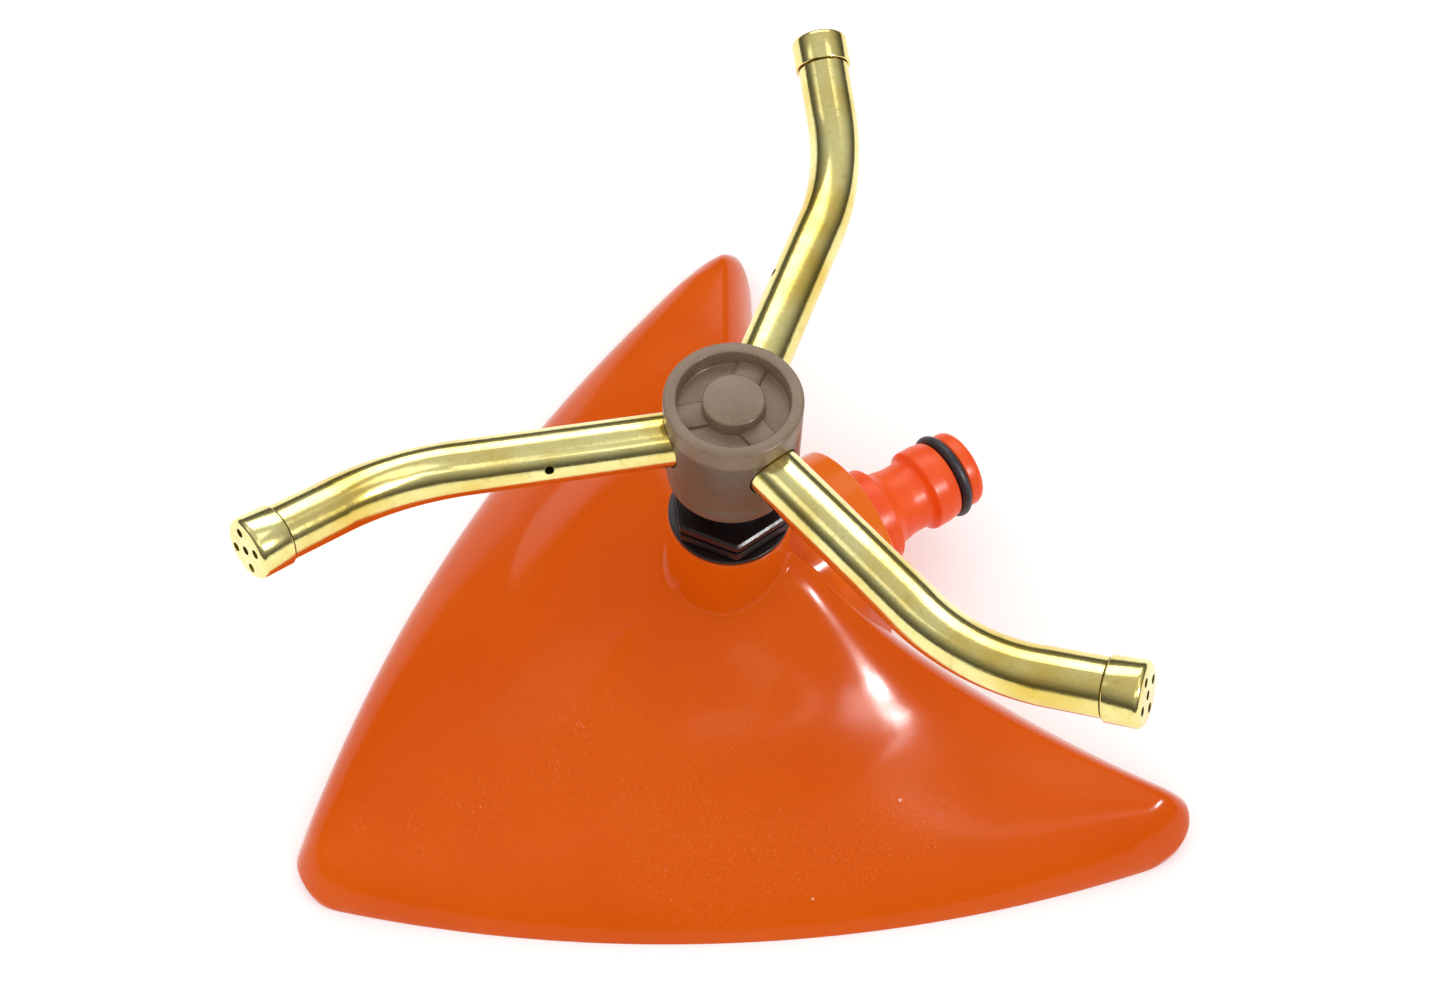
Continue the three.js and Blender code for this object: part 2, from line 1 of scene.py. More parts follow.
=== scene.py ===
"""Looks of a rotating lawn sprinkler: a glossy orange base with a column and a hose connector,
a black gland nut, and a taupe hub that carries three bent brass tubes.

Sizes are in millimetres in the part's own frame: +Z up along the spin axis, ground at 0,
+Y towards the hose connector. They become metres when a piece's mesh is made.
"""
import math

import bmesh
import bpy
import numpy as np
from mathutils import Matrix, Quaternion, Vector


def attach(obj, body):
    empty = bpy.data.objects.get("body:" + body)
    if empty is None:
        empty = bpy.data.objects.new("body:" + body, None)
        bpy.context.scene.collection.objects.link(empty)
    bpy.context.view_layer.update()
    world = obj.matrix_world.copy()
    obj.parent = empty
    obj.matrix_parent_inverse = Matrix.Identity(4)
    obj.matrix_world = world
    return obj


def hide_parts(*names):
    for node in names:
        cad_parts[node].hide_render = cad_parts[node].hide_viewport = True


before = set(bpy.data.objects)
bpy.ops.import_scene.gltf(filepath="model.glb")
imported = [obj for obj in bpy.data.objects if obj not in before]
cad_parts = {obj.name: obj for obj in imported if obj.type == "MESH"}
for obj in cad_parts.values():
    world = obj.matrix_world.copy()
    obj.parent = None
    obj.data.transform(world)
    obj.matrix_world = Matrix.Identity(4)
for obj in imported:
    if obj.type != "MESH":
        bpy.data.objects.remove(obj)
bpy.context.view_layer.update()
MM = 0.001

# ---------------------------------------------------------------- sizes, mm
RIGHT_TIP_R, LEFT_TIP_R, NOSE_TIP_R = 101.3, 104.5, 99.3
SIDE_R, SIDE_ARC, RIDGE_AZ, TRAIL, FLARE = 63.7, 310.0, 32.4, 7.1, 5.2
NOSE_ROUND, WING_ROUND, TRAIL_ROUND, ROOT_BOW = 8.8, 5.0, 11.6, 3.0
WING_H, RIDGE_RISE, PANEL_H, PANEL_RISE, WALL = 12.8, 31.0, 12.0, 20.8, 2.4
RIDGE_FALL, PANEL_FALL, RIDGE_SPREAD, BOW_REACH, FLARE_FROM, FLARE_REACH = 31, 38, 13, 22, 36, 34
TIP_SLOPE, SIDE_SLOPE, SIDE_SLOPE_LOST = 9.5, 36, 22
COL_TOP, COL_R, COL_FOOT_R, COL_FOOT_Z, COL_BORE_R = 53.7, 11.5, 12.1, 33.0, 8.9
COL_EDGE, COL_FILLET = 0.45, 1.1
INLET_Z, HOUSING_R, HOUSING_END, SPIGOT_R, PIPE_WAY_R = 21.2, 17.8, 30.7, 6.8, 10.4
RIB_T, RIB_AZ = 1.8, (-90, 30, 150)
FLANGE_Y, NECK_Y, SHOULDER_Y, GROOVE_Y, O_RING_Y, CONNECTOR_END = 32.1, 37.1, 47.3, 52.9, 54.3, 59.2
FLANGE_R, NECK_R, SHOULDER_R, NOSE_R, GROOVE_R, PORT_R, O_RING_R = 10.3, 7.4, 8.85, 8.3, 6.7, 4.6, 1.15
HEX_FOOT, HEX_TOP, HEX_R, HEX_AZ, NUT_COLLAR_R = 55.2, 60.0, 11.4, 34.0, 6.9
HUB_R, HUB_TOP, HUB_STEP, HUB_BOTTOM, RING_R = 11.95, 90.3, 72.7, 68.7, 11.5
POCKET_R, SPINDLE_WAY_R, NUT_BORE_R = 7.3, 4.4, 4.3
DISH_R, DISH_DEPTH, BOSS_R, BRIDGE_W, BRIDGE_H = 9.75, 3.2, 5.35, 4.9, 0.8
ARM_Z, ARM_RISE, BEND, BEND_R, OUTER_L = 80.8, 3.5, 29.5, 42.0, 28.5
ARM_AZ, TIP_RISE, CORNER_R = (249.4, 5.6, 126.4), (14.0, 18.6, 19.7), (57.8, 58.9, 58.6)
TUBE_R, TUBE_BORE_R, TUBE_START, SOCKET_END = 4.75, 3.35, 7.4, 6.0
CAP_R, CAP_L, CAP_FACE_T, JET_R, JET_CIRCLE = 5.28, 5.9, 1.2, 0.78, 3.1
CAP_TURN = (42.0, 30.0, 40.0)
SIDE_JET_AT, SIDE_JET_RISE, SIDE_JET_R = 32.5, 25.0, 0.8


# ---------------------------------------------------------------- meshes
def piece_from(name, points, faces, crease=35.0):
    """A mesh object at the origin from points in mm, with sharp edges above an angle."""
    mesh = bpy.data.meshes.new(name)
    mesh.from_pydata([tuple(p) for p in np.asarray(points, float) * MM], [], faces)
    return finished(name, mesh, crease)


def finished(name, mesh, crease=35.0):
    """Merges doubles, turns faces outwards, and links the mesh as an object at the origin."""
    bm = bmesh.new()
    bm.from_mesh(mesh)
    bmesh.ops.remove_doubles(bm, verts=bm.verts, dist=2e-7)
    bmesh.ops.recalc_face_normals(bm, faces=bm.faces)
    bm.to_mesh(mesh)
    bm.free()
    soften(mesh, crease)
    obj = bpy.data.objects.new(name, mesh)
    bpy.context.scene.collection.objects.link(obj)
    return obj


def soften(mesh, crease):
    for polygon in mesh.polygons:
        polygon.use_smooth = True
    mesh.set_sharp_from_angle(angle=math.radians(crease))


def rounded_profile(profile, steps=5):
    """A closed profile of (radius, height, corner radius) with each corner made an arc."""
    out = []
    count = len(profile)
    for i, (r, z, k) in enumerate(profile):
        here = np.array([r, z], float)
        before = np.array(profile[i - 1][:2], float) - here
        after = np.array(profile[(i + 1) % count][:2], float) - here
        la, lb = np.linalg.norm(before), np.linalg.norm(after)
        if k <= 0 or la < 1e-9 or lb < 1e-9:
            out.append(here)
            continue
        before, after = before / la, after / lb
        turn = math.acos(float(np.clip(before @ after, -1, 1)))
        if turn > math.radians(178):
            out.append(here)
            continue
        reach = min(k / math.tan(turn / 2), la * 0.49, lb * 0.49)
        radius = reach * math.tan(turn / 2)
        middle = before + after
        centre = here + middle / np.linalg.norm(middle) * (radius / math.sin(turn / 2))
        start, end = here + before * reach - centre, here + after * reach - centre
        a0, a1 = math.atan2(start[1], start[0]), math.atan2(end[1], end[0])
        sweep = (a1 - a0 + math.pi) % (2 * math.pi) - math.pi
        for s in range(steps + 1):
            a = a0 + sweep * s / steps
            out.append(centre + radius * np.array([math.cos(a), math.sin(a)]))
    return out


def turned(name, profile, sides=128, place=None, crease=35.0, steps=5):
    """A body turned about Z from a closed rounded profile, put in place by a matrix in mm."""
    line = rounded_profile(profile, steps)
    rows = len(line)
    points, faces = [], []
    for r, z in line:
        for k in range(sides):
            a = 2 * math.pi * k / sides
            points.append((max(r, 0) * math.cos(a), max(r, 0) * math.sin(a), z))
    for j in range(rows):
        for k in range(sides):
            a, b = j * sides + k, j * sides + (k + 1) % sides
            c, d = ((j + 1) % rows) * sides + (k + 1) % sides, ((j + 1) % rows) * sides + k
            ra, rd = line[j][0], line[(j + 1) % rows][0]
            if ra < 1e-6 and rd < 1e-6:
                continue
            faces.append((a, b, c, d))
    if place is not None:
        points = [place @ Vector(p) for p in points]
    points, faces = welded(points, faces)
    return piece_from(name, points, faces, crease)


def welded(points, faces):
    """Joins points that fall together, such as a pole, and drops the corners they leave."""
    keys, index, kept = {}, [], []
    for p in points:
        key = tuple(round(c, 5) for c in p)
        if key not in keys:
            keys[key] = len(kept)
            kept.append(tuple(p))
        index.append(keys[key])
    out = []
    for f in faces:
        g = []
        for v in (index[i] for i in f):
            if not g or (v != g[-1] and v != g[0]):
                g.append(v)
        if len(g) > 2:
            out.append(tuple(g))
    return kept, out


def combined(body, other, operation):
    """Joins or cuts one piece with another, then removes the other."""
    cut = body.modifiers.new("cut", "BOOLEAN")
    cut.operation = operation
    cut.solver = "EXACT"
    cut.object = other
    baked(body)
    remove(other)
    return body


def baked(obj, crease=35.0):
    """Turns the evaluated object into its plain mesh and removes its modifiers."""
    graph = bpy.context.evaluated_depsgraph_get()
    mesh = bpy.data.meshes.new_from_object(obj.evaluated_get(graph))
    obj.modifiers.clear()
    obj.data = mesh
    soften(mesh, crease)
    return obj


def remove(obj):
    mesh = obj.data
    bpy.data.objects.remove(obj)
    if mesh and not mesh.users:
        bpy.data.meshes.remove(mesh)


# ---------------------------------------------------------------- the base's skin
def corner(a, b, k):
    """The smaller of two distances, with the corner between them rounded."""
    return np.where((a < k) & (b < k), k - np.hypot(k - a, k - b), np.minimum(a, b))


def edges(x, y, inset):
    """Distances from plan points to the base's edges, with the base shrunk by inset."""
    ax = np.abs(x)
    away = SIDE_R - SIDE_ARC
    cx, cy = away * math.cos(math.radians(-30)), away * math.sin(math.radians(-30))
    near = SIDE_ARC - inset - np.hypot(ax - cx, y - cy)
    far = SIDE_ARC - inset - np.hypot(-ax - cx, y - cy)
    side = corner(near, far, NOSE_ROUND)
    reach = np.where(y > 0, np.where(x > 0, RIGHT_TIP_R, LEFT_TIP_R), NOSE_TIP_R)
    tip = reach - inset - np.hypot(x, y)
    c, s = math.cos(math.radians(RIDGE_AZ)), math.sin(math.radians(RIDGE_AZ))
    along = ax * c + y * s
    behind = y * c - ax * s - ROOT_BOW * np.exp(-((along / BOW_REACH) ** 2))
    back = TRAIL + FLARE * np.exp(-((np.maximum(along - FLARE_FROM, 0) / FLARE_REACH) ** 2))
    rear = back - inset - behind
    return side, tip, rear, behind, back, corner(corner(side, tip, WING_ROUND), rear, TRAIL_ROUND)


def shoulder(d, w, n, m):
    """How much of the full height stands at a distance from an edge, from 0 at it to 1 at w."""
    t = np.clip(d / w, 0, 1)
    return np.maximum(1 - (1 - t) ** n, 0) ** (1 / m)


def skin_height(x, y, inset):
    """Height of the base's skin over plan points."""
    r = np.hypot(x, y)
    side, tip, rear, behind, back, _ = edges(x, y, inset)
    out = np.clip((r - 45) / 47, 0, 1)
    ridge = WING_H + RIDGE_RISE * np.exp(-((np.maximum(r - 12, 0) / RIDGE_FALL) ** 1.4))
    panel = PANEL_H + PANEL_RISE * np.exp(-((np.maximum(r - 10, 0) / PANEL_FALL) ** 2))
    near = np.where(behind > 0, 1, np.exp(-((behind / RIDGE_SPREAD) ** 2)))
    top = panel + (ridge - panel) * near - inset
    top = top * shoulder(side, SIDE_SLOPE - SIDE_SLOPE_LOST * out, 2.1 + 0.4 * out, 1.15 + 0.4 * out)
    return top * shoulder(tip, TIP_SLOPE, 2.3, 2.2) * shoulder(rear, back, 1.5, 1.3)


def plan_radius(az, inset):
    """How far the plan outline reaches in each direction."""
    lo, hi = np.full(az.shape, 5.0), np.full(az.shape, LEFT_TIP_R + 5)
    for _ in range(30):
        mid = (lo + hi) / 2
        inside = edges(mid * np.cos(az), mid * np.sin(az), inset)[5] > 0
        lo, hi = np.where(inside, mid, lo), np.where(inside, hi, mid)
    return (lo + hi) / 2


def plan_directions(count):
    """Directions round the plan outline, closest where it turns most."""
    az = np.linspace(-math.pi, math.pi, 14401)
    r = plan_radius(az, 0)
    x, y = r * np.cos(az), r * np.sin(az)
    length = np.hypot(np.diff(x), np.diff(y))
    heading = np.unwrap(np.arctan2(np.diff(y), np.diff(x)))
    turn = np.abs(np.diff(heading, append=heading[-1]))
    fan = np.diff(az) * 30
    at = np.concatenate([[0], np.cumsum(length + 14 * turn + fan)])
    return np.interp(np.linspace(0, at[-1], count, endpoint=False), at, az)


def column_radius(z):
    """The column's slight taper."""
    share = np.clip((z - COL_FOOT_Z) / (COL_TOP - COL_FOOT_Z), 0, 1)
    return COL_FOOT_R + (COL_R - COL_FOOT_R) * share


def skin_rows(az, inset, first, rows):
    """Rows of skin points from a first radius out to the edge, for each direction."""
    edge = plan_radius(az, inset)
    out = []
    for j in range(rows + 1):
        r = first + (edge - first) * math.sin(math.pi / 2 * j / rows)
        x, y = r * np.cos(az), r * np.sin(az)
        z = np.zeros_like(r) if j == rows else skin_height(x, y, inset)
        out.append(np.stack([x, y, z], 1))
    return out


def fillet(above, corner_at, below, steps):
    """A smooth corner between a wall point and a skin point, for each direction."""
    out = []
    for s in range(1, steps):
        t = s / steps
        out.append(above * (1 - t) ** 2 + corner_at * 2 * t * (1 - t) + below * t * t)
    return out


def ring(az, radius, z):
    """One point for each direction, at a radius and a height."""
    radius = np.broadcast_to(radius, az.shape)
    return np.stack([radius * np.cos(az), radius * np.sin(az), np.broadcast_to(z, az.shape)], 1)


def ringed(name, rings):
    """A closed body from rings of points, from a pole above the first to a pole below the last."""
    count = len(rings[0])
    points = np.concatenate([[(0, 0, rings[0][0, 2])], *rings, [(0, 0, rings[-1][0, 2])]])
    last = len(points) - 1
    faces = []
    for i in range(count):
        k = (i + 1) % count
        faces.append((0, 1 + i, 1 + k))
        for j in range(len(rings) - 1):
            a = 1 + j * count
            faces.append((a + k, a + i, a + count + i, a + count + k))
        faces.append((last - count + k, last - count + i, last))
    return piece_from(name, points, faces, 50.0)


def outer_skin(az, rows=64):
    """The column and the skin down to a flat foot, solid inside."""
    foot = COL_FOOT_R + 0.05
    foot_z = skin_height(foot * np.cos(az), foot * np.sin(az), 0)
    out = []
    for s in range(7):
        a = math.pi / 2 * (1 - s / 6)
        out.append(ring(az, COL_R - COL_EDGE + COL_EDGE * math.cos(a),
                        COL_TOP - COL_EDGE + COL_EDGE * math.sin(a)))
    top = foot_z + COL_FILLET
    for s in range(1, 13):
        z = (COL_TOP - COL_EDGE) + (top - COL_TOP + COL_EDGE) * s / 12
        out.append(ring(az, column_radius(z), z))
    wide = foot + COL_FILLET
    below = ring(az, wide, skin_height(wide * np.cos(az), wide * np.sin(az), 0))
    out += fillet(out[-1], ring(az, foot, foot_z), below, 7)
    return ringed("base_skin", out + skin_rows(az, 0, wide, rows))


def inner_skin(az, rows=32):
    """The hollow under the skin, as a cutter."""
    skin = skin_rows(az, WALL, COL_BORE_R + WALL, rows)
    return ringed("inner_skin", [ring(az, COL_BORE_R, skin[0][:, 2])] + skin + [skin[-1] - (0, 0, 2)])


def arch_body(name, radius, start, end, floor, edge=0.0):
    """An arched block along +Y with the edge of its far end rounded."""
    outline = [(radius, floor), (radius, (floor + INLET_Z) / 2)]
    outline += [(radius * math.cos(math.pi * k / 64), INLET_Z + radius * math.sin(math.pi * k / 64))
                for k in range(65)]
    outline += [(-radius, (floor + INLET_Z) / 2), (-radius, floor)]
    rows = [(start, 0.0)]
    steps = 6 if edge else 0
    rows += [(end - edge + edge * math.sin(math.pi / 2 * s / max(steps, 1)),
              edge * (1 - math.cos(math.pi / 2 * s / max(steps, 1)))) for s in range(steps + 1)]
    points = []
    for y, shrink in rows:
        k = (radius - shrink) / radius
        points += [(x * k, y, INLET_Z + (z - INLET_Z) * k if z > INLET_Z else z) for x, z in outline]
    n = len(outline)
    faces = [tuple(range(n)), tuple(reversed(range((len(rows) - 1) * n, len(rows) * n)))]
    for j in range(len(rows) - 1):
        for i in range(n):
            k = (i + 1) % n
            faces.append((j * n + i, (j + 1) * n + i, (j + 1) * n + k, j * n + k))
    return piece_from(name, points, faces, 40.0)


def base_shell():
    """The skin with its column and inlet housing, hollowed from below but for its ribs."""
    az = plan_directions(560)
    base = outer_skin(az)
    combined(base, arch_body("housing", HOUSING_R, 6, HOUSING_END, 0, 0.9), "UNION")
    hollow = inner_skin(az)
    combined(hollow, arch_body("hollow", HOUSING_R - WALL, 3, HOUSING_END - WALL, -2), "UNION")
    combined(hollow, turned("column_wall", [(0, 26, 0), (COL_FOOT_R + 1.6, 26, 0.4),
                                            (COL_FOOT_R + 1.6, 60, 0), (0, 60, 0)]), "DIFFERENCE")
    for azimuth in RIB_AZ:
        combined(hollow, rib(azimuth), "DIFFERENCE")
    combined(base, hollow, "DIFFERENCE")
    way = turned("way", [(0, -5, 0), (COL_BORE_R, -5, 0), (COL_BORE_R, COL_TOP - 0.3, 0),
                         (COL_BORE_R + 1.3, COL_TOP + 1, 0), (0, COL_TOP + 1, 0)])
    combined(base, way, "DIFFERENCE")
    pipe = turned("pipe", [(0, -12, 0), (PIPE_WAY_R, -12, 0), (PIPE_WAY_R, HOUSING_END - WALL, 0),
                           (0, HOUSING_END - WALL, 0)], place=along_inlet())
    combined(base, pipe, "DIFFERENCE")
    mouth = turned("mouth", [(0, 20, 0), (SPIGOT_R + 0.3, 20, 0), (SPIGOT_R + 0.3, 40, 0), (0, 40, 0)],
                   place=along_inlet())
    combined(base, mouth, "DIFFERENCE")
    base.data.set_sharp_from_angle(angle=math.radians(32))
    return base


def rib(azimuth):
    """A thin upright wall from the middle outwards, just clear of the ground."""
    x, w, low, high = LEFT_TIP_R + 4, RIB_T / 2, 0.8, 60
    points = [(a, b, c) for a in (0, x) for b in (-w, w) for c in (low, high)]
    turn = Matrix.Rotation(math.radians(azimuth), 4, "Z")
    faces = [(0, 1, 3, 2), (4, 6, 7, 5), (0, 4, 5, 1), (2, 3, 7, 6), (0, 2, 6, 4), (1, 5, 7, 3)]
    return piece_from("rib", [turn @ Vector(p) for p in points], faces)


def along_inlet():
    """The matrix that lays a body made about +Z onto the inlet's axis."""
    return Matrix.Translation((0, 0, INLET_Z)) @ Matrix.Rotation(-math.pi / 2, 4, "X")


# ---------------------------------------------------------------- hose connector
def hose_connector():
    """A turned nose with a flange, a waisted neck, a shoulder, and a groove for its ring."""
    y0 = HOUSING_END - 10.4
    return turned("hose_connector", [
        (PORT_R, y0, 0.3),
        (SPIGOT_R, y0, 0.3),
        (SPIGOT_R, FLANGE_Y, 0),
        (FLANGE_R, FLANGE_Y, 0.5),
        (FLANGE_R, NECK_Y, 0.8),
        (9.1, NECK_Y + 0.2, 0.6),
        (8.0, NECK_Y + 2.2, 3.0),
        (NECK_R, NECK_Y + 5.6, 8.0),
        (NECK_R + 0.1, SHOULDER_Y - 1.1, 1.6),
        (SHOULDER_R, SHOULDER_Y, 0.7),
        (SHOULDER_R, SHOULDER_Y + 3.2, 3.0),
        (SHOULDER_R - 0.35, GROOVE_Y, 0.35),
        (GROOVE_R, GROOVE_Y, 0.1),
        (GROOVE_R, GROOVE_Y + 2.8, 0.1),
        (NOSE_R, GROOVE_Y + 2.8, 0.35),
        (NOSE_R, CONNECTOR_END, 1.5),
        (PORT_R, CONNECTOR_END, 0.5),
    ], sides=160, place=along_inlet(), crease=45)


def o_ring():
    """A round rubber ring that lies in the connector's groove."""
    points, faces = [], []
    around, across = 144, 24
    for i in range(around):
        a = 2 * math.pi * i / around
        for j in range(across):
            b = 2 * math.pi * j / across
            r = GROOVE_R + 0.3 + O_RING_R + O_RING_R * math.cos(b)
            points.append((r * math.cos(a), O_RING_Y + O_RING_R * math.sin(b),
                           INLET_Z + r * math.sin(a)))
            k, m = (i + 1) % around, (j + 1) % across
            faces.append((i * across + j, k * across + j, k * across + m, i * across + m))
    return piece_from("hose_o_ring", points, faces)


# ---------------------------------------------------------------- gland nut
def gland_nut():
    """Two chamfered hex tiers with a dark groove between them, and the collar above."""
    levels = [(HEX_FOOT, 0.8), (HEX_FOOT + 0.35, 0.0), (57.15, 0.0), (57.3, 0.15)]
    groove = [(57.35, 1.5), (58.05, 1.5)]
    upper = [(58.1, 0.15), (58.25, 0.0), (HEX_TOP - 0.35, 0.0), (HEX_TOP, 0.5)]
    points, count = [], 96
    for z, inset in levels + groove + upper:
        for k in range(count):
            a = 2 * math.pi * k / count
            points.append(hex_point(a, HEX_R - inset, z))
    rows = len(levels + groove + upper)
    faces = [tuple(reversed(range(count))), tuple(range((rows - 1) * count, rows * count))]
    for j in range(rows - 1):
        for k in range(count):
            m = (k + 1) % count
            faces.append((j * count + k, j * count + m, (j + 1) * count + m, (j + 1) * count + k))
    nut = piece_from("gland_nut_looks", points, faces, 25.0)
    collar = turned("collar", [(0, 59, 0), (NUT_COLLAR_R, 59, 0),
                               (NUT_COLLAR_R, HUB_BOTTOM - 0.4, 0.4), (0, HUB_BOTTOM - 0.4, 0)])
    combined(nut, collar, "UNION")
    stem = turned("stem", [(0, 44.9, 0), (COL_BORE_R - 0.4, 44.9, 0.3), (COL_BORE_R - 0.4, 55.9, 0),
                           (0, 55.9, 0)])
    combined(nut, stem, "UNION")
    bore = turned("bore", [(0, 30, 0), (NUT_BORE_R, 30, 0), (NUT_BORE_R, 80, 0), (0, 80, 0)])
    combined(nut, bore, "DIFFERENCE")
    nut.data.set_sharp_from_angle(angle=math.radians(25))
    return nut


def hex_point(angle, radius, z):
    """A point on a hexagon with its corners slightly rounded."""
    sector = math.radians(60)
    local = (angle - math.radians(HEX_AZ) + sector / 2) % sector - sector / 2
    flat = radius * math.cos(sector / 2) / math.cos(abs(local) - sector / 2)
    r = min(flat, radius - 0.12)
    return (r * math.cos(angle), r * math.sin(angle), z)


def nut_washer():
    """The flat black ring between the column and the nut."""
    return turned("washer_looks", [(COL_BORE_R, 54, 0.1), (COL_R - 0.15, 54, 0.25),
                                   (COL_R - 0.15, 54.9, 0.25), (COL_BORE_R, 54.9, 0.1)])


# ---------------------------------------------------------------- hub
def onto_arm(i):
    """The matrix that lays a body made along +X onto an arm's sloping inner axis."""
    return (Matrix.Translation((0, 0, ARM_Z)) @ Matrix.Rotation(math.radians(ARM_AZ[i]), 4, "Z")
            @ Matrix.Rotation(-math.radians(ARM_RISE), 4, "Y"))


def along_x():
    """The matrix that turns +Z onto +X."""
    return Matrix.Rotation(math.pi / 2, 4, "Y")


def hub():
    """A drum with a dish and a boss on top, bridges over its three sockets, and a pocket below."""
    floor = HUB_TOP - DISH_DEPTH
    body = turned("hub_looks", [
        (0, HUB_STEP + 0.3, 0),
        (HUB_R, HUB_STEP + 0.3, 0.3),
        (HUB_R, HUB_TOP, 0.45),
        (DISH_R, HUB_TOP, 0.25),
        (DISH_R - 0.1, floor, 0.35),
        (BOSS_R + 0.1, floor, 0.3),
        (BOSS_R, HUB_TOP - 0.25, 0.4),
        (0, HUB_TOP - 0.25, 0),
    ], sides=192, crease=50)
    for i in range(3):
        combined(body, bridge(i, floor), "UNION")
    pocket = turned("pocket", [(0, 60, 0), (POCKET_R, 60, 0), (POCKET_R, 74.5, 0),
                               (SPINDLE_WAY_R, 74.5, 0), (SPINDLE_WAY_R, 85, 0), (0, 85, 0)])
    combined(body, pocket, "DIFFERENCE")
    for i in range(3):
        socket = turned("socket", [(0, SOCKET_END, 0), (TUBE_R + 0.2, SOCKET_END, 0),
                                   (TUBE_R + 0.2, 10.6, 0), (TUBE_R + 0.42, 12.4, 0),
                                   (TUBE_R + 0.42, 16, 0), (0, 16, 0)],
                        sides=96, place=onto_arm(i) @ along_x())
        combined(body, socket, "DIFFERENCE")
    body.data.set_sharp_from_angle(angle=math.radians(38))
    return body


def bridge(i, floor):
    """A low crowned bar in the dish, over one socket."""
    outline = [(-BRIDGE_W / 2, -0.6), (BRIDGE_W / 2, -0.6)]
    for k in range(13):
        a = math.pi * k / 12
        outline.append((BRIDGE_W / 2 * math.cos(a), (BRIDGE_H - 0.3) + 0.3 * math.sin(a)))
    n = len(outline)
    turn = Matrix.Translation((0, 0, floor)) @ Matrix.Rotation(math.radians(ARM_AZ[i]), 4, "Z")
    points = [turn @ Vector((x, w, z)) for x in (BOSS_R - 0.5, DISH_R + 0.4) for w, z in outline]
    faces = [tuple(reversed(range(n))), tuple(range(n, 2 * n))]
    faces += [(k, (k + 1) % n, n + (k + 1) % n, n + k) for k in range(n)]
    return piece_from("bridge", points, faces)


def hub_ring():
    """The plain ring that closes the hub from below."""
    return turned("hub_ring_looks", [
        (SPINDLE_WAY_R, HUB_BOTTOM, 0.2),
        (RING_R, HUB_BOTTOM, 0.5),
        (RING_R + 0.05, HUB_STEP, 0.15),
        (POCKET_R, HUB_STEP, 0),
        (POCKET_R, HUB_BOTTOM + 1.5, 0),
        (SPINDLE_WAY_R, HUB_BOTTOM + 1.5, 0),
    ], sides=160)


# ---------------------------------------------------------------- arms
def heading(az, rise):
    """A direction from its azimuth and its rise, in degrees."""
    az, rise = math.radians(az), math.radians(rise)
    return Vector((math.cos(rise) * math.cos(az), math.cos(rise) * math.sin(az), math.sin(rise)))


def arm_line(i, first, last):
    """Points along an arm's centre line, how far it has bent at each, and its outer axis."""
    d1, d2 = heading(ARM_AZ[i], ARM_RISE), heading(ARM_AZ[i] + BEND, TIP_RISE[i])
    origin = Vector((0, 0, ARM_Z))
    corner_at = origin + d1 * CORNER_R[i]
    turn = d1.angle(d2)
    back = BEND_R * math.tan(turn / 2)
    start, end = corner_at - d1 * back, corner_at + d2 * back
    axis = d1.cross(d2).normalized()
    centre = start + axis.cross(d1) * BEND_R
    points, bent = [], []
    straight = (start - origin).length
    for k in range(24):
        points.append(origin + d1 * (first + (straight - first) * k / 24))
        bent.append(0.0)
    for k in range(49):
        points.append(centre + Quaternion(axis, turn * k / 48) @ (start - centre))
        bent.append(math.sin(math.pi * k / 48) ** 0.8)
    for k in range(1, 17):
        points.append(end + d2 * ((last - back) * k / 16))
        bent.append(0.0)
    return points, bent, axis, corner_at, d2


class Tree:
    """A geometry node tree with named inputs."""

    def __init__(self, name, inputs):
        self.tree = bpy.data.node_groups.new(name, "GeometryNodeTree")
        side = self.tree.interface
        side.new_socket("Geometry", in_out="OUTPUT", socket_type="NodeSocketGeometry")
        side.new_socket("Geometry", in_out="INPUT", socket_type="NodeSocketGeometry")
        self.keys = {}
        for label, kind in inputs:
            self.keys[label] = side.new_socket(label, in_out="INPUT", socket_type=kind).identifier
        self.start = self.tree.nodes.new("NodeGroupInput")
        self.end = self.tree.nodes.new("NodeGroupOutput")

    def node(self, kind, settings=None, **inputs):
        made = self.tree.nodes.new(kind)
        for key, value in (settings or {}).items():
            setattr(made, key, value)
        for key, value in inputs.items():
            socket = made.inputs[int(key[1:])] if key[0] == "_" else made.inputs[key.replace("_", " ")]
            if isinstance(value, bpy.types.NodeSocket):
                self.tree.links.new(value, socket)
            else:
                socket.default_value = value
        return made

    def given(self, label):
        return self.start.outputs[label]

    def close(self, geometry):
        real = self.node("GeometryNodeRealizeInstances", Geometry=geometry)
        dressed = self.node("GeometryNodeSetMaterial", Geometry=real.outputs[0],
                            Material=self.given("Material"))
        self.tree.links.new(dressed.outputs[0], self.end.inputs[0])

    def run(self, obj, **values):
        """Adds the tree to an object with its inputs set, and makes the result a plain mesh."""
        modifier = obj.modifiers.new("made", "NODES")
        modifier.node_group = self.tree
        for label, value in values.items():
            modifier[self.keys[label.replace("_", " ")]] = value
        return baked(obj)


